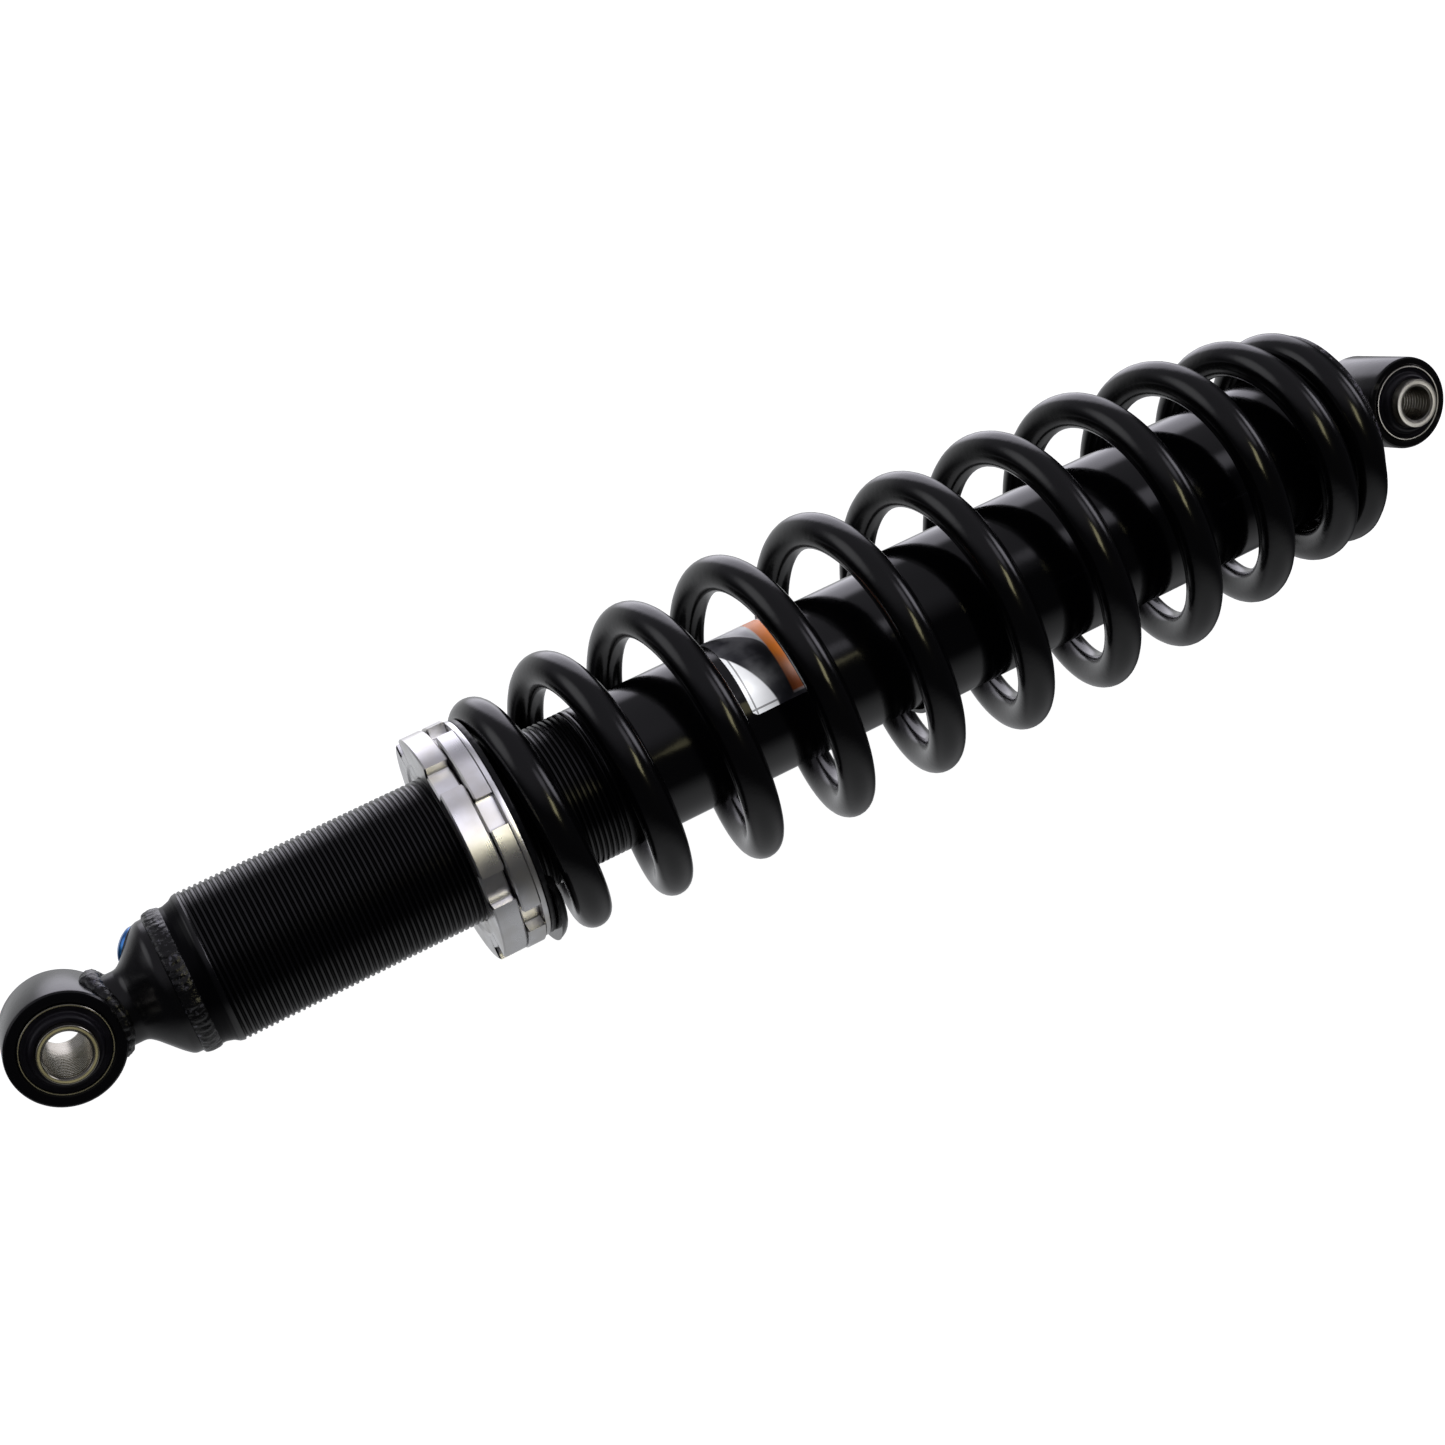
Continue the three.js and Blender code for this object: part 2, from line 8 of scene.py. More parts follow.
import bmesh
import bpy
from mathutils import Matrix, Vector, noise
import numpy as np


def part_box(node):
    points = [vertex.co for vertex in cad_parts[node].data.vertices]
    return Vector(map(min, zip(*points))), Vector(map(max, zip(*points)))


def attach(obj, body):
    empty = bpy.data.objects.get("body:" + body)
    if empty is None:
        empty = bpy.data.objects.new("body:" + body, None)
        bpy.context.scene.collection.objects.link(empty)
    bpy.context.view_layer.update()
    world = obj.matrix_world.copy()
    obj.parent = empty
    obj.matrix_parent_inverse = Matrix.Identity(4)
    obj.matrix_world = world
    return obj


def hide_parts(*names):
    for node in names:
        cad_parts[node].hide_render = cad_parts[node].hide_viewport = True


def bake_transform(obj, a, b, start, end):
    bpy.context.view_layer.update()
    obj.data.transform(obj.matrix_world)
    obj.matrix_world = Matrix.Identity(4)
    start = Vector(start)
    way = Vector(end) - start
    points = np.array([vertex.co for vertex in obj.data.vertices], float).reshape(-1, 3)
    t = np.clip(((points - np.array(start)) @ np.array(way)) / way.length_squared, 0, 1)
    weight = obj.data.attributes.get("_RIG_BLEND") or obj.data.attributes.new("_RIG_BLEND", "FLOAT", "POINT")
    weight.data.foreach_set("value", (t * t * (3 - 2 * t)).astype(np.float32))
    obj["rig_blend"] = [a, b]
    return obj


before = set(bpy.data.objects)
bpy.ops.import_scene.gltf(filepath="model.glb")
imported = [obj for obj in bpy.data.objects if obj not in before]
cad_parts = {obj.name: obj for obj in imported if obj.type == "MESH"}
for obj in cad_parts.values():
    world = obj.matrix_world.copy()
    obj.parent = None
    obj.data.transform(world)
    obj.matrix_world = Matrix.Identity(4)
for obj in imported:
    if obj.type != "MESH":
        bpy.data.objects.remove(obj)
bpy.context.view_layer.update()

MM = 0.001
TURN = 2 * math.pi
TOOL_RINGS_PER_METRE = 1800          # the fine rings that a lathe leaves


def span_x(node):
    """Where a CAD node starts and ends along the shock, in millimetres."""
    low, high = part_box(node)
    return low.x / MM, high.x / MM


# ---------------------------------------------------------------- driving dimensions
EYE_TO_EYE = sum(span_x("rod_eye_sleeve")) / 2
BODY_EYE = {
    "ring_r": 16, "ring_half": 11, "shell_r": 12.35, "sleeve_r": 8.0, "bore_r": 6.2, "sleeve_half": 15.5,
}
ROD_EYE = {
    "ring_r": 14.3, "ring_half": 13.7, "shell_r": 11.6, "sleeve_r": 7.5, "bore_r": 5.25, "sleeve_half": 18.3,
}
SHELL_WALL = 1.25

TUBE_R = 22
BORE_R = 19
TUBE_START, TUBE_END = span_x("damper_tube")
THREAD_START = 41.8
THREAD_END = 160
THREAD_PITCH = 25.4 / 16             # sixteen threads to the inch
THREAD_DEPTH = 0.55
THREAD_RUN_IN, THREAD_RUN_OUT = 0.8, 2.5
# Depth across one pitch, as (share of the pitch, share of the depth): flat crest, flank, flat root, flank.
THREAD_ROWS = [(0.0, 0.0), (0.17, 0.0), (0.34, 0.0), (0.48, 0.85), (0.56, 1.0), (0.76, 1.0), (0.84, 0.85)]
WELD_NECK_R = 20.2
CAP_NECK_R = 10.3

NUT_R = 34
NUT_HOLE_R = 22.15
NUT_RECESS_R = 22.9                  # where a collar's flat face gives way to its hole
NUT_SHOULDER_R = 29.3                # and where it starts, inside the notches
FLANGE_R = 33.2
NOTCH_COUNT = 6
NOTCH_WIDTH = 9.5
NOTCH_FLOOR_R = 30.2
LOCK_NOTCH = math.radians(38.9)
PRELOAD_NOTCH = math.radians(4.6)

WIRE_R = 5.35
SPRING_START, SPRING_END = span_x("coil_spring")
SPRING_MID_R = 44 - WIRE_R
COIL_LEAN = 2.4
COIL_BOW = 1.2
FIRST_TURN, LAST_TURN = -0.69, 10.8
COIL_START_X = 127.9
END_PITCH = 11.5
WIDEST_PITCH, WIDEST_TURN = 30.9, 4.9
PITCH_NARROWING = 0.28               # how fast the pitch falls away from its widest turn
BARREL_START, BARREL_END = 235, 330  # the coils between these have the full radius
TAPER_BEFORE, TAPER_AFTER = 105, 80  # how far the tapers reach, each beyond its end of the barrel
TAPER = 7.9                          # how much the radius shrinks along each

SHROUD_START = span_x("shroud")[0]
SHROUD_R = 24.5
RETAINER_END = span_x("spring_retainer")[1]
RETAINER_FACE = RETAINER_END - 3.8
RETAINER_R = 32.8
STEM_R = 11.2

LABEL_START, LABEL_END = 204.3, 223.6
LABEL_LOW = math.radians(9)          # from +Z towards +Y
LABEL_HIGH = math.radians(125)

FLOOR_Z = -45


# ---------------------------------------------------------------- materials
def node(tree, kind, inputs=None, **settings):
    """A shader node with its inputs linked, or set to a value, and its settings."""
    made = tree.nodes.new(kind)
    for key, value in settings.items():
        setattr(made, key, value)
    for key, value in (inputs or {}).items():
        if isinstance(value, bpy.types.NodeSocket):
            tree.links.new(value, made.inputs[key])
        else:
            made.inputs[key].default_value = value
    return made


def calc(tree, operation, first, second=0.0, clamp=False):
    made = node(tree, "ShaderNodeMath", {0: first, 1: second}, operation=operation, use_clamp=clamp)
    return made.outputs[0]


def remap(tree, value, low, high, to_low, to_high, smooth=False):
    inputs = {"Value": value, "From Min": low, "From Max": high, "To Min": to_low, "To Max": to_high}
    interpolation = "SMOOTHSTEP" if smooth else "LINEAR"
    return node(tree, "ShaderNodeMapRange", inputs, interpolation_type=interpolation).outputs[0]


def mix_color(tree, factor, first, second):
    return node(tree, "ShaderNodeMix", {0: factor, 6: first, 7: second}, data_type="RGBA").outputs[2]


def noise_value(tree, scale, detail=3.0, stretch=(1, 1, 1)):
    coords = node(tree, "ShaderNodeTexCoord").outputs["Object"]
    placed = node(tree, "ShaderNodeMapping", {"Vector": coords, "Scale": stretch}).outputs[0]
    made = node(tree, "ShaderNodeTexNoise", {"Vector": placed, "Scale": scale, "Detail": detail})
    return made.outputs["Fac"]


def object_axes(tree):
    coords = node(tree, "ShaderNodeTexCoord").outputs["Object"]
    return node(tree, "ShaderNodeSeparateXYZ", {0: coords}).outputs


def axis_distance(tree, first, second):
    squares = calc(tree, "ADD", calc(tree, "MULTIPLY", first, first), calc(tree, "MULTIPLY", second, second))
    return calc(tree, "SQRT", squares)


def worn_edges(tree, low, high):
    """From 0 to 1 as the surface gets more pointed."""
    pointiness = node(tree, "ShaderNodeNewGeometry").outputs["Pointiness"]
    return remap(tree, pointiness, low, high, 0, 1)


def bump(tree, height, distance, strength=1.0, before=None):
    inputs = {"Height": height, "Distance": distance, "Strength": strength}
    if before is not None:
        inputs["Normal"] = before
    return node(tree, "ShaderNodeBump", inputs).outputs[0]


def start_material(name, color, roughness, metallic=0.0, **more):
    material = bpy.data.materials.new(name)
    material.use_nodes = True
    tree = material.node_tree
    shader = tree.nodes["Principled BSDF"]
    shader.inputs["Base Color"].default_value = (*color, 1)
    shader.inputs["Roughness"].default_value = roughness
    shader.inputs["Metallic"].default_value = metallic
    for key, value in more.items():
        shader.inputs[key.replace("_", " ")].default_value = value
    return material, tree, shader


def feed(tree, shader, **sockets):
    """Links sockets to the shader's inputs of the same names, which have spaces for underscores."""
    for key, socket in sockets.items():
        tree.links.new(socket, shader.inputs[key.replace("_", " ")])


def black_coat(name, color, worn, rough_low, rough_high, peel, specular=0.5, rim=None):
    """Black paint: fine orange peel, cloudy gloss, lighter worn edges and, beyond the radius rim, chips that
    are partly painted glints.
    """
    material, tree, shader = start_material(name, color, rough_low, Specular_IOR_Level=specular)
    cloud = noise_value(tree, 45, 4)
    patches = remap(tree, noise_value(tree, 260, 5), 0.45, 0.65, 0, 1)
    scuffs_and_rim_glints = calc(tree, "MULTIPLY", worn_edges(tree, 0.53, 0.62), patches)
    if rim is not None:
        axes = object_axes(tree)
        at_rim = remap(tree, axis_distance(tree, axes["Y"], axes["Z"]), rim * MM, (rim + 0.5) * MM, 0, 1)
        # Beyond the rim, chips of the rough rim take the lighter colour, partly as painted glints.
        rim_chips_with_glints = remap(tree, noise_value(tree, 420, 5), 0.5, 0.6, 0, 1)
        scuffs_and_rim_glints = calc(tree, "MAXIMUM", scuffs_and_rim_glints, calc(tree, "MULTIPLY", at_rim, rim_chips_with_glints))
    tone = mix_color(tree, remap(tree, cloud, 0.3, 0.7, 0, 1), (*[c * 0.8 for c in color], 1), (*color, 1))
    tone = mix_color(tree, calc(tree, "MULTIPLY", scuffs_and_rim_glints, 0.6), tone, (*worn, 1))
    gloss = remap(tree, cloud, 0.3, 0.7, rough_low, rough_high)
    gloss = calc(tree, "ADD", gloss, calc(tree, "MULTIPLY", scuffs_and_rim_glints, 0.15))
    peel_height = calc(tree, "ADD", noise_value(tree, 420, 3), calc(tree, "MULTIPLY", scuffs_and_rim_glints, 2.0))
    feed(tree, shader, Base_Color=tone, Roughness=gloss, Normal=bump(tree, peel_height, peel * MM))
    return material


TUBE_BLACK = (0.004, 0.004, 0.005)


def tube_coat(name):
    """The damper tube: satin on the thread, whose roots are dull, and glossy on the length after it."""
    material, tree, shader = start_material(name, TUBE_BLACK, 0.2)
    axes = object_axes(tree)
    smooth_part = remap(tree, axes["X"], THREAD_END * MM, (THREAD_END + 1) * MM, 0, 1)
    cloud = remap(tree, noise_value(tree, 60, 4), 0.3, 0.7, -0.03, 0.05)
    gloss = calc(tree, "ADD", remap(tree, smooth_part, 0, 1, 0.23, 0.12), cloud)
    patches = remap(tree, noise_value(tree, 500, 5), 0.62, 0.75, 0, 0.35)
    worn = calc(tree, "MULTIPLY", patches, worn_edges(tree, 0.52, 0.6))
    tone = mix_color(tree, worn, (*TUBE_BLACK, 1), (0.12, 0.12, 0.12, 1))
    radius = axis_distance(tree, axes["Y"], axes["Z"])
    shine = remap(tree, radius, (TUBE_R - THREAD_DEPTH) * MM, (TUBE_R - 0.1) * MM, 0.08, 0.6)
    grain = bump(tree, noise_value(tree, 500, 3), 0.012 * MM)
    feed(tree, shader, Base_Color=tone, Roughness=gloss, Specular_IOR_Level=shine, Normal=grain)
    return material


def turned_metal(name, color, roughness, axis, centre=(0, 0), warm_reflection_tint=(0.5, 0.47, 0.38)):
    """Machined metal: fine tool rings round an axis, with cloudy gloss and cloudy patches tinted warm as a
    painted reflection.
    """
    material, tree, shader = start_material(name, color, roughness, 1.0)
    axes = object_axes(tree)
    along, first, second = {"X": ("X", "Y", "Z"), "Z": ("Z", "X", "Y")}[axis]
    u = calc(tree, "SUBTRACT", axes[first], centre[0] * MM)
    v = calc(tree, "SUBTRACT", axes[second], centre[1] * MM)
    tool_path = calc(tree, "ADD", axis_distance(tree, u, v), axes[along])
    rings = calc(tree, "SINE", calc(tree, "MULTIPLY", tool_path, TOOL_RINGS_PER_METRE * TURN))
    cloud = noise_value(tree, 90, 5)
    scratch = noise_value(tree, 900, 3)
    # Painted reflection: the tone varies in cloudy patches that lean to a warm tint, standing in for warm
    # light mirrored in the metal.
    tone = mix_color(tree, remap(tree, cloud, 0.42, 0.75, 0, 0.55), (*color, 1), (*warm_reflection_tint, 1))
    gloss = remap(tree, cloud, 0.3, 0.7, roughness * 0.85, roughness * 1.2)
    ridged = bump(tree, rings, 0.004 * MM, 0.5)
    scratched = bump(tree, scratch, 0.0015 * MM, 0.5, ridged)
    feed(tree, shader, Base_Color=tone, Roughness=gloss, Normal=scratched)
    return material


def plain_metal(name, color, roughness, grain=500, depth=0.01):
    material, tree, shader = start_material(name, color, roughness, 1.0)
    cloud = noise_value(tree, 120, 4)
    tone = mix_color(tree, remap(tree, cloud, 0.35, 0.7, 0, 1), (*color, 1), (*[c * 0.8 for c in color], 1))
    gloss = remap(tree, cloud, 0.3, 0.7, roughness * 0.8, roughness * 1.25)
    grained = bump(tree, noise_value(tree, grain, 4), depth * MM)
    feed(tree, shader, Base_Color=tone, Roughness=gloss, Normal=grained)
    return material


def moulded_rubber(name, color, roughness=0.6):
    material, tree, shader = start_material(name, color, roughness, Specular_IOR_Level=0.4)
    bloom = noise_value(tree, 220, 5)
    bloomed = [c * 1.8 + 0.01 for c in color]
    tone = mix_color(tree, remap(tree, bloom, 0.4, 0.75, 0, 0.6), (*color, 1), (*bloomed, 1))
    gloss = remap(tree, bloom, 0.3, 0.7, roughness * 0.8, roughness * 1.15)
    grained = bump(tree, noise_value(tree, 1500, 3), 0.03 * MM)
    feed(tree, shader, Base_Color=tone, Roughness=gloss, Normal=grained)
    return material


def painted_weld(name, color, painted_glint_color, roughness=0.2):
    """Paint over a rough bead, with small lighter, partly metallic patches that are painted highlights."""
    material, tree, shader = start_material(name, color, roughness)
    # Painted highlights: small patches in a lighter colour, partly metallic, stand in for glints on the
    # bead.
    painted_glint_patch = remap(tree, noise_value(tree, 620, 5), 0.6, 0.7, 0, 1)
    tone = mix_color(tree, painted_glint_patch, (*color, 1), (*painted_glint_color, 1))
    gloss = remap(tree, noise_value(tree, 300, 3), 0.3, 0.7, roughness * 0.7, roughness * 1.6)
    lumps = bump(tree, noise_value(tree, 800, 5), 0.3 * MM)
    feed(tree, shader, Base_Color=tone, Metallic=calc(tree, "MULTIPLY", painted_glint_patch, 0.6), Roughness=gloss,
         Normal=lumps)
    return material


def label_film(name):
    """Silver film with a thin dark keyline, a black sweep across it and an orange band along one side,
    darkened low down by painted shade.
    """
    material, tree, shader = start_material(name, (0.6, 0.6, 0.62), 0.35, Specular_IOR_Level=0.4)
    axes = object_axes(tree)
    across = remap(tree, axes["X"], LABEL_START * MM, LABEL_END * MM, 0, 1)
    angle = calc(tree, "ARCTAN2", axes["Y"], axes["Z"])
    up = remap(tree, angle, LABEL_LOW, LABEL_HIGH, 0, 1)

    silver = (0.9, 0.9, 0.91, 1)
    black = (0.012, 0.012, 0.016, 1)
    # Painted shade: the orange darkens to brown towards the lower edge of the label, where less light falls.
    painted_shade_fade = remap(tree, up, 0.06, 0.36, 0, 1, smooth=True)
    orange = mix_color(tree, painted_shade_fade, (0.3, 0.07, 0.01, 1), (1.0, 0.27, 0.02, 1))

    def beyond(value, edge, softness=0.012):
        low = calc(tree, "SUBTRACT", value, calc(tree, "ADD", edge, -softness))
        return calc(tree, "DIVIDE", low, 2 * softness, clamp=True)

    def short_of(value, edge):
        return calc(tree, "SUBTRACT", 1.0, beyond(value, edge))

    def line_at(value, place, half_width):
        made = calc(tree, "COMPARE", value, place)
        made.node.inputs[2].default_value = half_width
        return made

    silver_edge, lower_edge = 0.43, 0.035

    # The sweep leans towards the body eye as it climbs, and narrows to a point.
    climb = calc(tree, "POWER", up, 1.6)
    sweep_low = calc(tree, "SUBTRACT", silver_edge, calc(tree, "MULTIPLY", climb, 1.42))
    shoulder = remap(tree, up, 0.38, 0.95, 0, 0.72, smooth=True)
    sweep_high = calc(tree, "SUBTRACT", 0.7, shoulder)
    in_sweep = calc(tree, "MULTIPLY", beyond(across, sweep_low), short_of(across, sweep_high))

    band_low = remap(tree, up, 0.0, 0.4, 0.62, 0.7)
    in_band = calc(tree, "MULTIPLY", beyond(across, band_low), short_of(across, 0.95))
    lower_border = calc(tree, "MULTIPLY", beyond(across, silver_edge), short_of(up, lower_edge))
    border = calc(tree, "MAXIMUM", beyond(across, 0.96), lower_border)
    keyline = calc(tree, "MAXIMUM", line_at(across, 0.07, 0.012), line_at(up, lower_edge, 0.006))
    keyline = calc(tree, "MULTIPLY", keyline, short_of(across, silver_edge))

    tone = mix_color(tree, calc(tree, "MULTIPLY", keyline, 0.8), silver, (0.1, 0.1, 0.1, 1))
    tone = mix_color(tree, calc(tree, "MULTIPLY", in_band, beyond(up, lower_edge)), tone, orange)
    tone = mix_color(tree, in_sweep, tone, black)
    tone = mix_color(tree, border, tone, black)
    crease = noise_value(tree, 160, 3)
    tone = mix_color(tree, remap(tree, crease, 0.4, 0.8, 0, 0.25), tone, (0.3, 0.3, 0.31, 1))
    gloss = remap(tree, crease, 0.3, 0.7, 0.28, 0.42)
    waves = bump(tree, noise_value(tree, 90, 2), 0.06 * MM)
    feed(tree, shader, Base_Color=tone, Roughness=gloss, Normal=waves)
    return material


def blue_anodise(name):
    material, tree, shader = start_material(name, (0.02, 0.24, 0.75), 0.2, 0.7, Coat_Weight=0.6)
    cloud = remap(tree, noise_value(tree, 200, 3), 0.35, 0.7, 0, 1)
    tone = mix_color(tree, cloud, (0.012, 0.16, 0.55, 1), (0.03, 0.32, 0.85, 1))
    feed(tree, shader, Base_Color=tone, Normal=bump(tree, noise_value(tree, 900, 3), 0.01 * MM))
    return material


PAINT = black_coat("gloss_black_paint", (0.005, 0.005, 0.006), (0.1, 0.1, 0.1), 0.16, 0.26, 0.03)
COAT = black_coat("spring_powder_coat", (0.003, 0.003, 0.004), (0.03, 0.03, 0.035), 0.14, 0.2, 0.03)
SHROUD_COAT = black_coat("shroud_gloss", (0.003, 0.003, 0.004), (0.03, 0.03, 0.035), 0.09, 0.15, 0.01)
# The retainer's light lilac wear colour is partly a painted highlight on its rough rim.
PLATE_COAT = black_coat("plate_paint", (0.005, 0.005, 0.006), (0.34, 0.32, 0.38), 0.18, 0.28, 0.05,
                        rim=RETAINER_R - 2.6)
TUBE_COAT = tube_coat("tube_black")
ALLOY = turned_metal("machined_alloy", (0.82, 0.82, 0.83), 0.29, "X")
BODY_STEEL = turned_metal("body_eye_steel", (0.45, 0.43, 0.37), 0.24, "Z", warm_reflection_tint=(0.25, 0.23, 0.15))
ROD_STEEL = turned_metal("rod_eye_steel", (0.45, 0.43, 0.39), 0.3, "Z", (EYE_TO_EYE, 0), (0.3, 0.28, 0.2))
BRIGHT_STEEL = plain_metal("bright_steel", (0.6, 0.59, 0.56), 0.28)
INNER_ALLOY = plain_metal("inner_alloy", (0.62, 0.63, 0.65), 0.38)
CHROME = plain_metal("hard_chrome", (0.7, 0.71, 0.73), 0.08, depth=0.002)
BRASS = plain_metal("valve_brass", (0.7, 0.5, 0.2), 0.3)
RUBBER = moulded_rubber("bush_rubber", (0.008, 0.007, 0.011), 0.45)
WASHER = moulded_rubber("isolator_black", (0.006, 0.006, 0.007), 0.3)
GUIDE = moulded_rubber("guide_polymer", (0.12, 0.16, 0.13), 0.55)
FOAM = moulded_rubber("urethane", (0.55, 0.48, 0.25), 0.75)
# The second colour of each weld is the colour of its painted highlights.
WELD = painted_weld("painted_weld", (0.005, 0.005, 0.006), (0.16, 0.16, 0.19))
ROD_WELD = painted_weld("bare_weld", (0.02, 0.014, 0.008), (0.3, 0.22, 0.12))
LABEL = label_film("label_film")
BLUE = blue_anodise("blue_anodise")


# ---------------------------------------------------------------- mesh helpers
def make_piece(name, parts, material, body, nodes, sharp=32):
    """One object from several (points, faces) parts, riding on a body and standing for some CAD nodes."""
    points, faces = [], []
    for part_points, part_faces in parts:
        first = len(points)
        points += [(x * MM, y * MM, z * MM) for x, y, z in part_points]
        faces += [tuple(i + first for i in face) for face in part_faces]
    mesh = bpy.data.meshes.new(name)
    mesh.from_pydata(points, [], faces)
    shape = bmesh.new()
    shape.from_mesh(mesh)
    bmesh.ops.remove_doubles(shape, verts=shape.verts, dist=2e-7)
    bmesh.ops.dissolve_degenerate(shape, dist=1e-7, edges=shape.edges)
    bmesh.ops.recalc_face_normals(shape, faces=shape.faces)
    shape.to_mesh(mesh)
    shape.free()
    mesh.shade_smooth()
    mesh.set_sharp_from_angle(angle=math.radians(sharp))
    mesh.materials.append(material)
    piece = bpy.data.objects.new(name, mesh)
    bpy.context.scene.collection.objects.link(piece)
    if body is not None:
        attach(piece, body)
    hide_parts(*nodes)
    return piece


def loft(loops, wrap=True):
    """Quads between neighbouring loops, which all have the same number of points."""
    count = len(loops[0])
    faces = []
    for i in range(len(loops) if wrap else len(loops) - 1):
        j = (i + 1) % len(loops)
        for k in range(count):
            m = (k + 1) % count
            faces.append((i * count + k, i * count + m, j * count + m, j * count + k))
    if not wrap:
        last = (len(loops) - 1) * count
        faces.append(tuple(reversed(range(count))))
        faces.append(tuple(range(last, last + count)))
    return [p for loop in loops for p in loop], faces


def soften(profile, radius=0.3, steps=3):
    """Rounds the corners of a closed outline of (along, radius) points. A point on the axis stays sharp."""
    rounded = []
    for i, here in enumerate(profile):
        before, after = Vector(profile[i - 1]), Vector(profile[(i + 1) % len(profile)])
        point = Vector(here)
        back, ahead = before - point, after - point
        cut = min(radius, 0.45 * back.length, 0.45 * ahead.length)
        if here[1] == 0 or cut < 0.01:
            rounded.append(tuple(here))
            continue
        start, end = point + back.normalized() * cut, point + ahead.normalized() * cut
        for step in range(steps + 1):
            t = step / steps
            rounded.append(tuple((1 - t) ** 2 * start + 2 * t * (1 - t) * point + t * t * end))
    return rounded


def within(value, low, high):
    return min(max(value, low), high)


def on_ring(x, r, angle):
    """The point at x and at radius r that lies at an angle round the shock."""
    return (x, r * math.cos(angle), r * math.sin(angle))


def circle(x, r, segments):
    """Points round the shock at x, starting at +Y."""
    return [on_ring(x, r, TURN * k / segments) for k in range(segments)]


def round_x(profile, segments=128, radius=0.3):
    return loft([circle(x, r, segments) for x, r in soften(profile, radius)])


def round_z(profile, centre_x=0.0, segments=112, radius=0.3):
    points, faces = round_x(profile, segments, radius)
    return [(centre_x + y, z, x) for x, y, z in points], faces


def moved(part, matrix):
    points, faces = part
    return [tuple(matrix @ Vector(p)) for p in points], faces


def unit_noise(*where):
    return noise.noise(Vector(where))


# ---------------------------------------------------------------- eyes and bushes
def mirrored(end_profile):
    """Closes a profile given for the +Z end by mirroring it at the middle."""
    return end_profile + [(-z, r) for z, r in reversed(end_profile)]


def eye_ring(eye, centre_x=0.0):
    half, outer, hole = eye["ring_half"], eye["ring_r"], eye["shell_r"]
    return round_z(mirrored([(half, hole), (half, outer)]), centre_x, radius=1.3)


def bush_pieces(prefix, eye, centre_x, body, sleeve_body, steel):
    half, shell_r, sleeve_r, bore_r = eye["ring_half"], eye["shell_r"], eye["sleeve_r"], eye["bore_r"]
    inner = shell_r - SHELL_WALL
    lip = shell_r - 0.5
    shell = mirrored([(half - 0.6, inner), (half - 0.6, lip), (half + 0.3, lip), (half + 0.3, shell_r)])
    make_piece(f"{prefix}_bush_shell", [round_z(shell, centre_x)], steel, body, [f"{prefix}_shell"])

    collar = sleeve_r + 0.5 * (inner - sleeve_r)
    rubber = mirrored([
        (half + 1.5, sleeve_r), (half + 1.5, collar - 0.5), (half + 1.1, collar),
        (half - 0.2, collar + 0.5), (half - 0.4, inner - 0.6), (half - 0.1, lip - 0.1),
        (half - 0.5, lip - 0.1), (half - 0.5, inner - 0.1),
    ])
    make_piece(f"{prefix}_bush_rubber", [round_z(rubber, centre_x)], RUBBER, body, [f"{prefix}_rubber"])

    # The bore keeps the ridges of a boring tool, finer than its wall is thick.
    end = eye["sleeve_half"]
    lead = 0.5
    ridge, ridge_pitch, steps = 0.2, 1.3, 4
    ridges = int((2 * end - 4 * lead) / ridge_pitch)
    bore = []
    for i in range(ridges * steps + 1):
        z = end - 2 * lead - i * ridge_pitch / steps
        bore.append((z, bore_r + ridge * (i % steps in (1, 2))))
    sleeve = [(-end, bore_r + lead), (-end, sleeve_r), (end, sleeve_r), (end, bore_r + lead)]
    sleeve = soften(sleeve, 0.35)
    outline = sleeve + [(end - lead, bore_r + 0.05)] + bore + [(-end + lead, bore_r + 0.05)]
    points, faces = round_z(outline, centre_x, segments=96, radius=0.0)
    make_piece(f"{prefix}_bolt_sleeve", [(points, faces)], steel, sleeve_body, [f"{prefix}_sleeve"])


def ripple(phase):
    """A rounded saw: one overlapping scale of a weld bead for each whole phase."""
    f = phase % 1.0
    return (f / 0.75) ** 0.7 if f < 0.75 else 1 - (f - 0.75) / 0.25


def ring_weld(x0, x1, inner_r, height, scales, segments=420, rows=14):
    """A bead round the shock: crescent scales that overlap, uneven along the bead."""
    loops = []
    for row in range(rows + 1):
        across = row / rows
        x = x0 + (x1 - x0) * across
        side = 2 * across - 1
        crown = math.sqrt(max(0.0, 1 - side * side)) ** 0.8
        loop = []
        for k in range(segments):
            turn = k / segments
            angle = TURN * turn
            drift = 0.35 * unit_noise(math.cos(angle) * 3, math.sin(angle) * 3, 0.5)
            scale = ripple(scales * turn + 0.55 * side * side + drift)
            lump = 0.25 * unit_noise(math.cos(angle) * 9, math.sin(angle) * 9, across * 2)
            r = inner_r + height * crown * (0.82 + 0.18 * scale + lump)
            loop.append(on_ring(x, r, angle))
        loops.append(loop)
    under = [circle(x, inner_r - 0.6, segments) for x in (x1, x0)]
    return loft(loops + under)


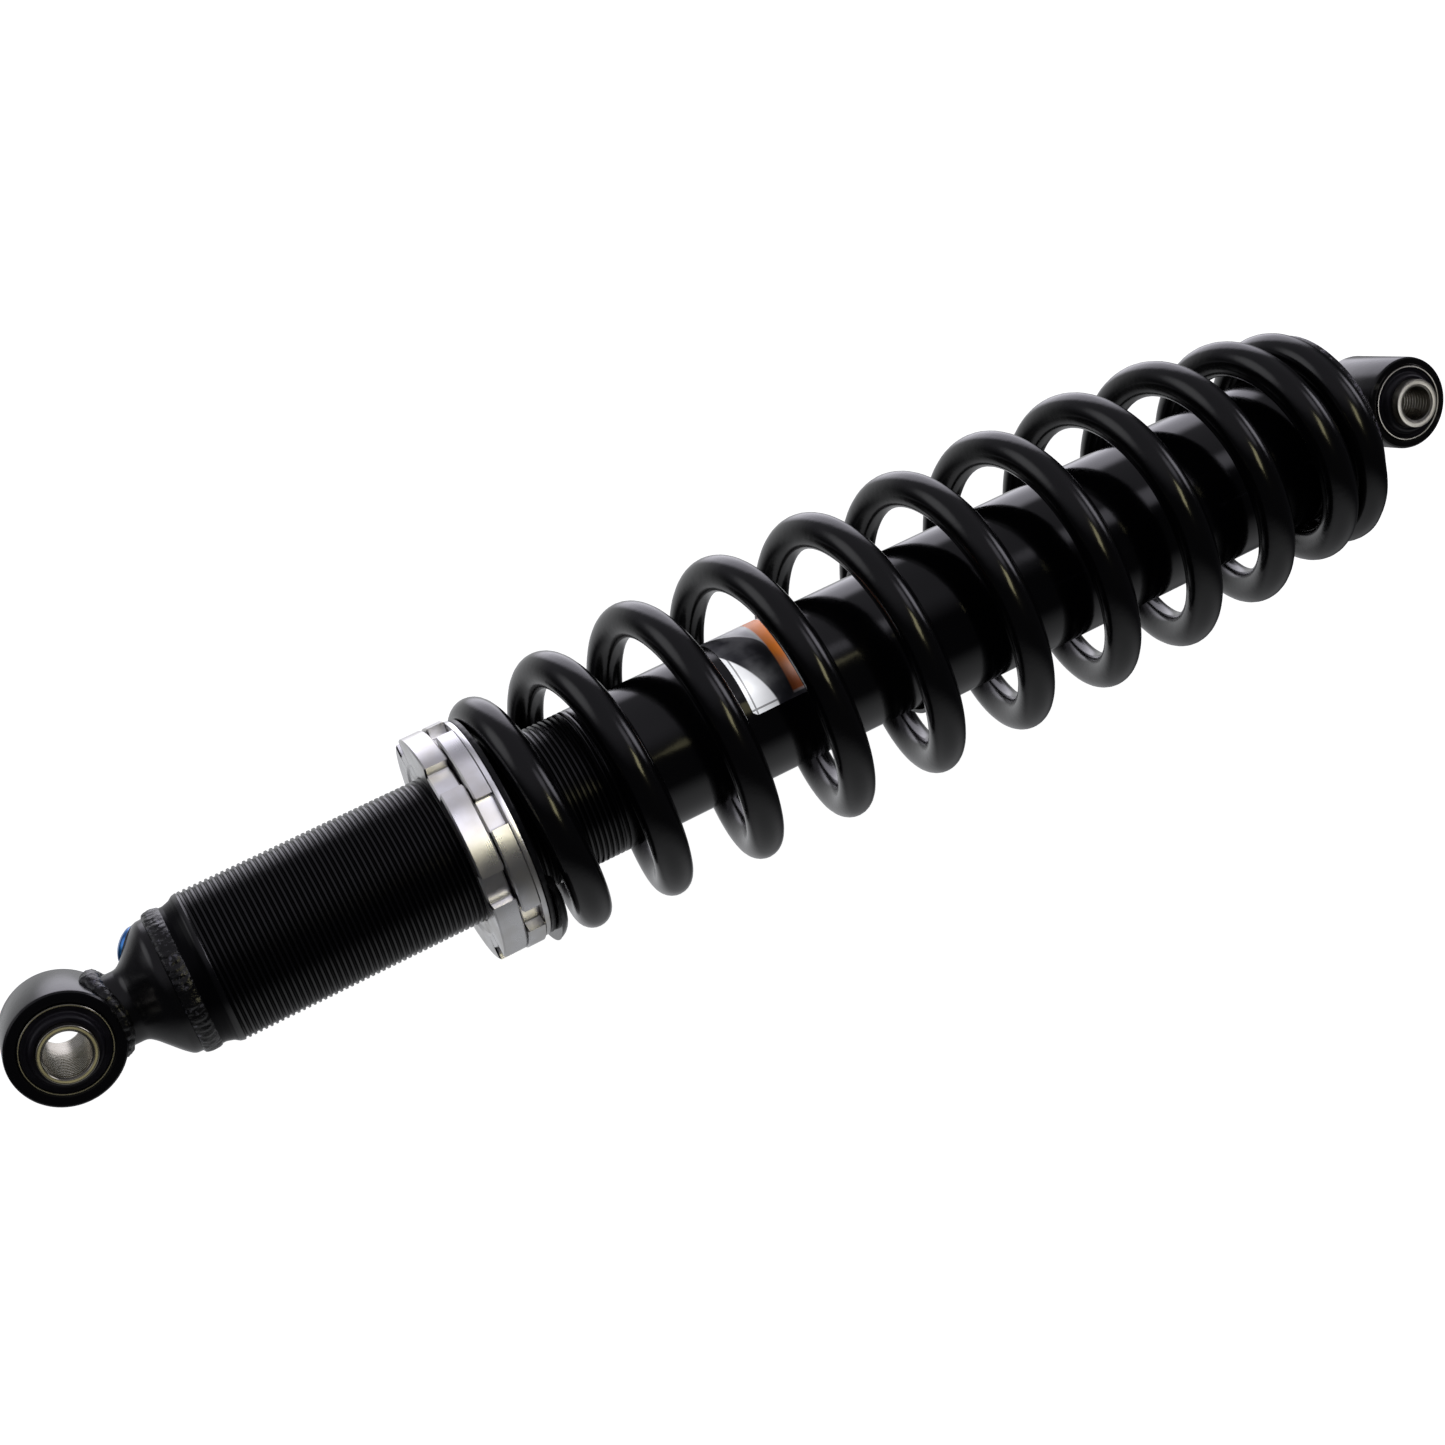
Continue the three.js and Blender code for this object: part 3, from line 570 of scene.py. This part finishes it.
def saddle_weld(barrel_r, neck_r, bead_r, crest, scales, segments=260, sides=14):
    """A rippled bead where a neck meets a barrel that lies across it, thicker on top by crest."""
    def line(turn):
        y, z = neck_r * math.cos(TURN * turn), neck_r * math.sin(TURN * turn)
        return Vector((math.sqrt(barrel_r ** 2 - y * y), y, z))

    loops = []
    for k in range(segments):
        turn = k / segments
        here = line(turn)
        tangent = (line(turn + 0.002) - line(turn - 0.002)).normalized()
        outward = Vector((0, here.y, here.z)).normalized()
        side = tangent.cross(outward).normalized()
        loop = []
        for j in range(sides):
            angle = TURN * j / sides
            scale = ripple(scales * turn + 0.3 * math.cos(angle) ** 2)
            lump = unit_noise(here.x * 0.5, here.y * 0.5, here.z * 0.5 + angle)
            top = max(0.0, math.cos(TURN * turn)) ** 3
            r = bead_r * (0.85 + 0.12 * scale + 0.25 * lump + crest * top)
            loop.append(tuple(here + r * (math.cos(angle) * outward + math.sin(angle) * side)))
        loops.append(loop)
    return loft(loops)


def build_eyes():
    make_piece("body_eye_barrel", [eye_ring(BODY_EYE)], PAINT, "damper_body", ["body_eye_ring"])
    bush_pieces("body_eye", BODY_EYE, 0.0, "damper_body", "body_sleeve", BODY_STEEL)
    bush_pieces("rod_eye", ROD_EYE, EYE_TO_EYE, "rod_assembly", "rod_sleeve", ROD_STEEL)

    bead = saddle_weld(BODY_EYE["ring_r"] + 0.2, CAP_NECK_R + 0.3, 1.8, 0.7, 24)
    make_piece("body_eye_bead", [bead], WELD, "damper_body", ["body_eye_weld"], sharp=70)

    barrel_edge = EYE_TO_EYE - ROD_EYE["shell_r"] - 0.6
    stem_start = RETAINER_FACE + 1
    stem = round_x([(stem_start, 0), (stem_start, STEM_R), (barrel_edge, STEM_R), (barrel_edge, 0)])
    make_piece("rod_eye_barrel", [eye_ring(ROD_EYE, EYE_TO_EYE), stem], PAINT, "rod_assembly", ["rod_eye"])
    weld = ring_weld(RETAINER_END - 0.3, RETAINER_END + 3.2, STEM_R, 2.6, 34, segments=260)
    make_piece("rod_eye_bead", [weld], ROD_WELD, "rod_assembly", ["rod_eye_weld"], sharp=70)


# ---------------------------------------------------------------- end cap and gas valve
VALVE_ANGLE = math.radians(125)
VALVE_RADIAL = Vector((0, math.sin(VALVE_ANGLE), math.cos(VALVE_ANGLE)))
VALVE_FACE = Vector((26.4, 0, 0)) + 14.2 * VALVE_RADIAL
VALVE_OUT = (Vector((-0.757, 0, 0)) + 0.653 * VALVE_RADIAL).normalized()


def build_cap():
    cap = round_x([
        (12.6, 0), (12.6, CAP_NECK_R), (19.4, CAP_NECK_R), (21.3, 11.8), (26.3, 17.3), (28.2, 19.0),
        (29.2, 19.5), (31.0, 19.6), (33.2, 19.6), (33.2, 0),
    ], radius=1.2)
    valve_frame = Matrix.Translation(VALVE_FACE) @ VALVE_OUT.to_track_quat("X", "Z").to_matrix().to_4x4()
    boss = moved(round_x([(-4, 0), (-4, 6.4), (1.4, 6.4), (1.8, 6.0), (1.8, 0)], 72), valve_frame)
    make_piece("cap_body", [cap, boss], PAINT, "damper_body", ["end_cap"])
    blue = moved(round_x([
        (-0.7, 0), (-0.7, 5.3), (0.0, 5.7), (1.8, 5.7), (3.0, 4.8), (3.9, 2.8), (4.1, 0),
    ], 72, radius=0.5), valve_frame)
    make_piece("valve_cap", [blue], BLUE, "damper_body", ["gas_valve_cap"])

    bead = ring_weld(31.0, 36.6, 19.7, 1.15, 60)
    make_piece("cap_bead", [bead], WELD, "damper_body", ["cap_weld"], sharp=70)


# ---------------------------------------------------------------- damper tube
def threaded_part(segments):
    """One helical sheet along the thread, which fades out into plain tube at both ends."""
    turns = int((THREAD_END - THREAD_START) / THREAD_PITCH) + 3
    points = []
    for turn in range(turns):
        for k in range(segments + 1):
            for share, depth in THREAD_ROWS:
                x = THREAD_START + THREAD_PITCH * (turn - 1.5 + share + k / segments)
                fade = within((x - THREAD_START) / THREAD_RUN_IN, 0, 1)
                fade *= within((THREAD_END - x) / THREAD_RUN_OUT, 0, 1)
                r = TUBE_R - THREAD_DEPTH * depth * fade
                points.append(on_ring(within(x, THREAD_START, THREAD_END), r, TURN * k / segments))
    count = len(THREAD_ROWS)
    stride = (segments + 1) * count
    faces = []
    for turn in range(turns - 1):
        for k in range(segments):
            here, ahead = turn * stride + k * count, turn * stride + (k + 1) * count
            for j in range(count - 1):
                faces.append((here + j, ahead + j, ahead + j + 1, here + j + 1))
            faces.append((here + count - 1, ahead + count - 1, ahead + stride, here + stride))
    return points, faces


def plain_tube(segments):
    outline = soften([
        (TUBE_END, TUBE_R - 0.4), (TUBE_END, BORE_R), (TUBE_START, BORE_R), (TUBE_START, WELD_NECK_R),
        (37.4, WELD_NECK_R), (39.4, 20.8), (40.8, 21.8),
    ], 0.3)
    before_thread = [(THREAD_START, TUBE_R)]
    after_thread = [(THREAD_END, TUBE_R)] + [(x, TUBE_R) for x in (200, 240, TUBE_END - 0.5)]
    profile = after_thread + outline + before_thread
    points, faces = loft([circle(x, r, segments) for x, r in profile])
    return points, faces[:-segments]


def label_patch():
    """A thin curved sheet with rounded corners: its underside, its face and the edges between them."""
    rows, columns = 40, 10
    corner = 1.2
    loops = []
    for lift in (0.03, 0.16):
        for i in range(rows + 1):
            angle = math.pi / 2 - (LABEL_LOW + (LABEL_HIGH - LABEL_LOW) * i / rows)
            edge = min(i, rows - i) * TUBE_R * (LABEL_HIGH - LABEL_LOW) / rows
            trim = corner - math.sqrt(max(0.0, corner ** 2 - (corner - edge) ** 2)) if edge < corner else 0.0
            width = LABEL_END - LABEL_START - 2 * trim
            places = [LABEL_START + trim + width * j / columns for j in range(columns + 1)]
            loops.append([on_ring(x, TUBE_R + lift, angle) for x in places])
    count = columns + 1
    face = (rows + 1) * count
    faces = []
    for i in range(rows):
        for j in range(columns):
            low = i * count + j
            faces.append((low, low + 1, low + count + 1, low + count))
            high = low + face
            faces.append((high, high + count, high + count + 1, high + 1))
        for j in (0, columns):
            low = i * count + j
            faces.append((low, low + count, low + count + face, low + face))
    for i in (0, rows):
        for j in range(columns):
            low = i * count + j
            faces.append((low, low + 1, low + 1 + face, low + face))
    return [p for loop in loops for p in loop], faces


def build_tube():
    segments = 128
    make_piece("threaded_tube", [threaded_part(segments), plain_tube(segments)], TUBE_COAT, "damper_body",
               ["damper_tube"])
    make_piece("tube_decal", [label_patch()], LABEL, "damper_body", ["tube_label"])


# ---------------------------------------------------------------- collars and isolator
def collar_outline(first_notch, inset):
    """The notched outside of a collar, drawn in by inset all round, with rounded notch corners."""
    outer, floor, half = NUT_R - inset, NOTCH_FLOOR_R - inset, NOTCH_WIDTH / 2 + inset
    lug_half = math.pi / NOTCH_COUNT - math.asin(half / outer)
    outline = []
    for i in range(NOTCH_COUNT):
        notch = first_notch + TURN * i / NOTCH_COUNT
        flat = [(floor + 0.5, -half), (floor + 0.12, -half + 0.15), (floor, -half + 0.5)]
        flat += [(floor, half * step / 4) for step in (-3, -2, -1, 0, 1, 2, 3)]
        flat += [(floor, half - 0.5), (floor + 0.12, half - 0.15), (floor + 0.5, half)]
        cos, sin = math.cos(notch), math.sin(notch)
        outline += [(r * cos - w * sin, r * sin + w * cos) for r, w in flat]
        middle = notch + math.pi / NOTCH_COUNT
        steps = 18
        outline += [(outer * math.cos(middle + lug_half * (2 * s / steps - 1)),
                     outer * math.sin(middle + lug_half * (2 * s / steps - 1))) for s in range(steps + 1)]
    return outline


def at_radius(outline, r):
    """A circle of radius r with one point in the direction of each outline point."""
    return [(y * r / math.hypot(y, z), z * r / math.hypot(y, z)) for y, z in outline]


def collar(x0, x1, first_notch, face_rings, back_rings):
    """face_rings and back_rings are (x, radius) steps on the two faces, from the outside to the hole."""
    edge = 0.45
    full = collar_outline(first_notch, 0)
    drawn_in = collar_outline(first_notch, edge)
    loops = [(x0, drawn_in), (x0 + edge, full), (x1 - edge, full), (x1, drawn_in)]
    loops += [(x, at_radius(full, r)) for x, r in back_rings]
    loops += [(x, at_radius(full, r)) for x, r in reversed(face_rings)]
    return loft([[(x, y, z) for y, z in loop] for x, loop in loops])


def build_collars():
    x0, x1 = span_x("lock_ring")
    face = [
        (x0, NUT_SHOULDER_R), (x0, 26.6), (x0 + 0.5, 25.9), (x0 + 0.5, NUT_RECESS_R), (x0 + 0.9, NUT_HOLE_R),
    ]
    back = [(x1, NUT_SHOULDER_R), (x1, NUT_RECESS_R), (x1 - 0.6, NUT_HOLE_R)]
    ring = collar(x0, x1, LOCK_NOTCH, face, back)
    make_piece("lock_collar_body", [ring], ALLOY, "lock_collar", ["lock_ring"], sharp=25)

    x0, x1 = span_x("preload_nut")
    flange = x1 - 1.5
    face = [(x0, NUT_SHOULDER_R), (x0, NUT_RECESS_R), (x0 + 0.6, NUT_HOLE_R)]
    back = [(flange, NUT_SHOULDER_R), (flange, 28.9), (flange + 0.4, 23.0), (flange + 0.4, NUT_HOLE_R)]
    nut = collar(x0, flange, PRELOAD_NOTCH, face, back)
    rim = [(flange - 0.1, NUT_HOLE_R), (flange - 0.1, FLANGE_R), (x1, FLANGE_R), (x1, NUT_HOLE_R)]
    make_piece("preload_collar_body", [nut, round_x(rim, radius=0.25)], ALLOY, "preload_collar",
               ["preload_nut"], sharp=25)

    x0, x1 = span_x("spring_isolator")
    segments, points_per_rib = 256, 4
    profile = soften([(x0, 22.6), (x0, 33.1), (x1, 33.1), (x1, 22.6)], 0.45)
    loops = []
    for x, r in profile:
        loop = []
        for k in range(segments):
            rib = 0.03 * math.cos(TURN * k / points_per_rib) if r > 30 else 0.0
            loop.append(on_ring(x, r + rib - 0.05, TURN * k / segments))
        loops.append(loop)
    make_piece("spring_washer", [loft(loops)], WASHER, "spring_seat", ["spring_isolator"])


# ---------------------------------------------------------------- coil spring
def smooth_step(low, high, value):
    t = within((value - low) / (high - low), 0, 1)
    return t * t * (3 - 2 * t)


def coil_pitch(turn):
    open_pitch = WIDEST_PITCH - PITCH_NARROWING * (turn - WIDEST_TURN) ** 2
    open_part = smooth_step(0.05, 0.5, turn) * (1 - smooth_step(9.1, 9.7, turn))
    return END_PITCH + (open_pitch - END_PITCH) * open_part


def coil_centres(steps):
    """The wire's centre line as (turn, x, point) at equal steps: right-handed, barrel-shaped."""
    centres = []
    x = COIL_START_X
    step = (LAST_TURN - FIRST_TURN) / steps
    for i in range(steps + 1):
        turn = FIRST_TURN + i * step
        angle = TURN * turn
        inside = smooth_step(0, 1.5, turn) * (1 - smooth_step(8, 10, turn))
        left = TAPER * within((BARREL_START - x) / TAPER_BEFORE, 0, 1) ** 2
        right = TAPER * within((x - BARREL_END) / TAPER_AFTER, 0, 1) ** 2
        r = SPRING_MID_R - left - right
        point = Vector((x + COIL_LEAN * inside * math.cos(angle),
                        r * math.cos(angle) + COIL_BOW * inside, r * math.sin(angle)))
        centres.append((turn, x, point))
        x += coil_pitch(turn + step / 2) * step
    return centres


def build_spring():
    steps, sides = 1060, 28
    centres = coil_centres(steps)
    free_start = next(x for turn, x, _ in centres if turn >= 0.1)
    free_end = next(x for turn, x, _ in centres if turn >= 9.4)
    loops, shares = [], []
    for i, (turn, x, point) in enumerate(centres):
        tangent = (centres[min(i + 1, steps)][2] - centres[max(i - 1, 0)][2]).normalized()
        outward = Vector((0, point.y, point.z)).normalized()
        outward = (outward - tangent * outward.dot(tangent)).normalized()
        side = tangent.cross(outward)
        from_end = min(i, steps - i)
        wire = WIRE_R * (1 - 0.09 * (1 - from_end / 2) if from_end < 2 else 1)
        loop = []
        for j in range(sides):
            angle = TURN * j / sides
            p = point + wire * (math.cos(angle) * outward + math.sin(angle) * side)
            loop.append((within(p.x, SPRING_START, SPRING_END), p.y, p.z))
        loops.append(loop)
        shares += [within((x - free_start) / (free_end - free_start), 0, 1)] * sides
    spring = make_piece("barrel_spring", [loft(loops, wrap=False)], COAT, None, ["coil_spring"],
                        sharp=50)
    start, end = (SPRING_START * MM, 0, 0), (SPRING_END * MM, 0, 0)
    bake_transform(spring, "damper_body", "rod_assembly", start=start, end=end)

    # Each section of wire moves as one, so the wire stays round as the coils close up.
    weights = spring.data.attributes["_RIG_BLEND"].data
    if len(weights) == len(shares):
        weights.foreach_set("value", shares)
    else:
        raise RuntimeError(f"the spring has {len(weights)} points and {len(shares)} weights")


# ---------------------------------------------------------------- shroud and retainer
def build_rod_side():
    end = RETAINER_FACE - 0.3
    inner = SHROUD_R - 1.4
    wall = [(SHROUD_START, inner), (SHROUD_START, SHROUD_R), (end, SHROUD_R), (end, inner)]
    make_piece("dust_shroud", [round_x(wall, 160, radius=0.35)], SHROUD_COAT, "rod_assembly", ["shroud"])

    x = RETAINER_FACE
    plate = round_x([
        (x - 2.2, STEM_R), (x - 2.2, 22.9), (x, 23.2), (x, RETAINER_R - 0.1), (x + 1.4, RETAINER_R - 0.1),
        (x + 3.3, RETAINER_R - 2.4), (x + 3.8, RETAINER_R - 3.4), (x + 3.8, STEM_R),
    ], 160, radius=0.35)
    make_piece("retainer_plate", [plate], PLATE_COAT, "rod_assembly", ["spring_retainer"])


# ---------------------------------------------------------------- inner pieces keep their CAD shape
INNER_MATERIALS = {
    "gas_valve_core": BRASS,
    "floating_piston": INNER_ALLOY, "seal_head": INNER_ALLOY, "piston": INNER_ALLOY,
    "floating_piston_o_ring": RUBBER, "seal_head_o_ring": RUBBER, "oil_seal": RUBBER, "wiper_seal": RUBBER,
    "rod_guide_bush": GUIDE, "piston_band": GUIDE,
    "snap_ring": BRIGHT_STEEL, "compression_shims": BRIGHT_STEEL, "rebound_shims": BRIGHT_STEEL,
    "piston_nut": BRIGHT_STEEL, "bump_washer": BRIGHT_STEEL,
    "piston_rod": CHROME,
    "top_out_bumper": FOAM, "bump_stop": FOAM,
}


def dress_inner_pieces():
    for name, material in INNER_MATERIALS.items():
        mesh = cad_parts[name].data
        mesh.materials.clear()
        mesh.materials.append(material)
        mesh.shade_smooth()
        mesh.set_sharp_from_angle(angle=math.radians(35))


# ---------------------------------------------------------------- studio
def build_floor():
    """White, and seen by the camera only. What the shock mirrors is the studio all round it."""
    size = 4000 * MM
    bpy.ops.mesh.primitive_plane_add(size=size, location=(EYE_TO_EYE / 2 * MM, 0, FLOOR_Z * MM))
    floor = bpy.context.object
    floor.name = "studio_floor"
    glow = {"Emission_Color": (1, 1, 1, 1), "Emission_Strength": 1.0}
    material, _, _ = start_material("pale_floor", (0.8, 0.8, 0.81), 0.6, Specular_IOR_Level=0.0, **glow)
    floor.data.materials.append(material)
    floor.visible_glossy = False
    floor.visible_diffuse = False


def area_light(name, place, size, radiance, color, lit=None):
    """A soft box that faces the middle of the shock. When lit names some pieces, it lights only those."""
    place, size = Vector(place) * MM, Vector(size) * MM
    light = bpy.data.lights.new(name, "AREA")
    light.shape = "RECTANGLE"
    light.size, light.size_y = size
    light.energy = radiance * math.pi * size.x * size.y
    light.color = color
    lamp = bpy.data.objects.new(name, light)
    lamp.location = place
    lamp.rotation_euler = (place - Vector((EYE_TO_EYE / 2 * MM, 0, 0))).to_track_quat("Z", "Y").to_euler()
    lamp.visible_camera = False
    bpy.context.scene.collection.objects.link(lamp)
    if lit is not None:
        receivers = bpy.data.collections.new(name + "_receivers")
        for piece in lit:
            receivers.objects.link(bpy.data.objects[piece])
        lamp.light_linking.receiver_collection = receivers


def direction(turn, height):
    """A unit vector from its turn round +Z (from +X towards +Y) and its height, both in degrees."""
    turn, height = math.radians(turn), math.radians(height)
    return (math.cos(height) * math.cos(turn), math.cos(height) * math.sin(turn), math.sin(height))


WHITE, LILAC, WARM = (0.97, 0.98, 1.0), (0.91, 0.89, 1.0), (1.0, 0.93, 0.55)

# Soft boxes and reflectors far away all round: turn, height, inner and outer half angle, radiance, colour.
SOFT_BOXES = [
    ("behind_right_low", 55, -48, 18, 33, 1.7, LILAC),
    ("right", 20, 15, 3, 16, 2.8, LILAC),
    ("high_right", 48, 42, 2, 15, 1.1, LILAC),
    ("behind_left", 135, -8, 6, 26, 0.8, WHITE),
    ("front_wall", -95, -8, 25, 60, 0.34, WHITE),
    ("behind_wall", 95, 5, 40, 80, 0.26, LILAC),
    ("table", 0, -90, 15, 50, 0.6, WHITE),
]


def build_world():
    """The air is white to the camera and carries the soft boxes for everything else."""
    world = bpy.data.worlds.new("studio_air")
    bpy.context.scene.world = world
    world.use_nodes = True
    tree = world.node_tree
    toward = node(tree, "ShaderNodeTexCoord").outputs["Generated"]
    light = (0.025, 0.025, 0.028)
    for _, turn, height, inner, outer, radiance, color in SOFT_BOXES:
        facing = node(tree, "ShaderNodeVectorMath", {0: toward, 1: direction(turn, height)},
                      operation="DOT_PRODUCT")
        fade_from, fade_to = math.cos(math.radians(outer)), math.cos(math.radians(inner))
        glow = remap(tree, facing.outputs["Value"], fade_from, fade_to, 0, radiance, smooth=True)
        tinted = node(tree, "ShaderNodeVectorMath", {0: color, "Scale": glow}, operation="SCALE").outputs[0]
        light = node(tree, "ShaderNodeVectorMath", {0: light, 1: tinted}, operation="ADD").outputs[0]
    lit = node(tree, "ShaderNodeBackground", {"Color": light, "Strength": 1.0})
    white = node(tree, "ShaderNodeBackground", {"Color": (1, 1, 1, 1), "Strength": 1.0})
    seen = node(tree, "ShaderNodeLightPath").outputs["Is Camera Ray"]
    mixed = node(tree, "ShaderNodeMixShader", {0: seen, 1: lit.outputs[0], 2: white.outputs[0]})
    tree.links.new(mixed.outputs[0], tree.nodes["World Output"].inputs[0])


def build_studio():
    build_floor()
    build_world()
    collars = ["lock_collar_body", "preload_collar_body", "valve_cap"]
    eye_steel = ["body_eye_bolt_sleeve", "body_eye_bush_shell", "rod_eye_bolt_sleeve", "rod_eye_bush_shell"]
    area_light("collar_softbox", (450, 320, 760), (800, 500), 1.3, LILAC, collars)
    area_light("collar_backlight", (230, 690, 190), (500, 420), 0.55, LILAC, collars)
    coil_side = collars + ["barrel_spring", "cap_body", "cap_bead", "body_eye_bead", "rod_eye_barrel",
                           "rod_eye_bead"]
    area_light("label_softbox", (350, 560, 560), (500, 300), 14, WHITE, ["tube_decal"])
    area_light("rod_eye_softbox", (740, -220, 680), (300, 300), 2.2, WHITE, eye_steel)
    area_light("body_eye_softbox", (-43, -215, 680), (260, 260), 0.5, WARM, eye_steel)
    area_light("warm_lamp", (350, 160, 620), (130, 240), 4.5, WARM, coil_side)
    area_light("warm_glint", (350, 160, 620), (130, 240), 0.9, WARM, ["threaded_tube"])
    bpy.context.scene.view_settings.view_transform = "Standard"


def build_camera():
    """It stands over the shock, nearer the body eye, and is rolled so that the shock climbs to the right."""
    place = Vector((34.42, 183.73, 576.0)) * MM
    right = Vector((0.8680, -0.3412, 0.3608)).normalized()
    back = Vector((-0.2659, 0.2944, 0.9180)).normalized()
    up = back.cross(right).normalized()
    right = up.cross(back)
    lens = bpy.data.cameras.new("camera")
    lens.sensor_width = 36
    lens.lens = 53.86
    lens.clip_start = 0.01
    camera = bpy.data.objects.new("camera", lens)
    turn = Matrix((right, up, back)).transposed().to_4x4()
    camera.matrix_world = Matrix.Translation(place) @ turn
    bpy.context.scene.collection.objects.link(camera)
    bpy.context.scene.camera = camera


build_eyes()
build_cap()
build_tube()
build_collars()
build_spring()
build_rod_side()
dress_inner_pieces()
build_studio()
build_camera()
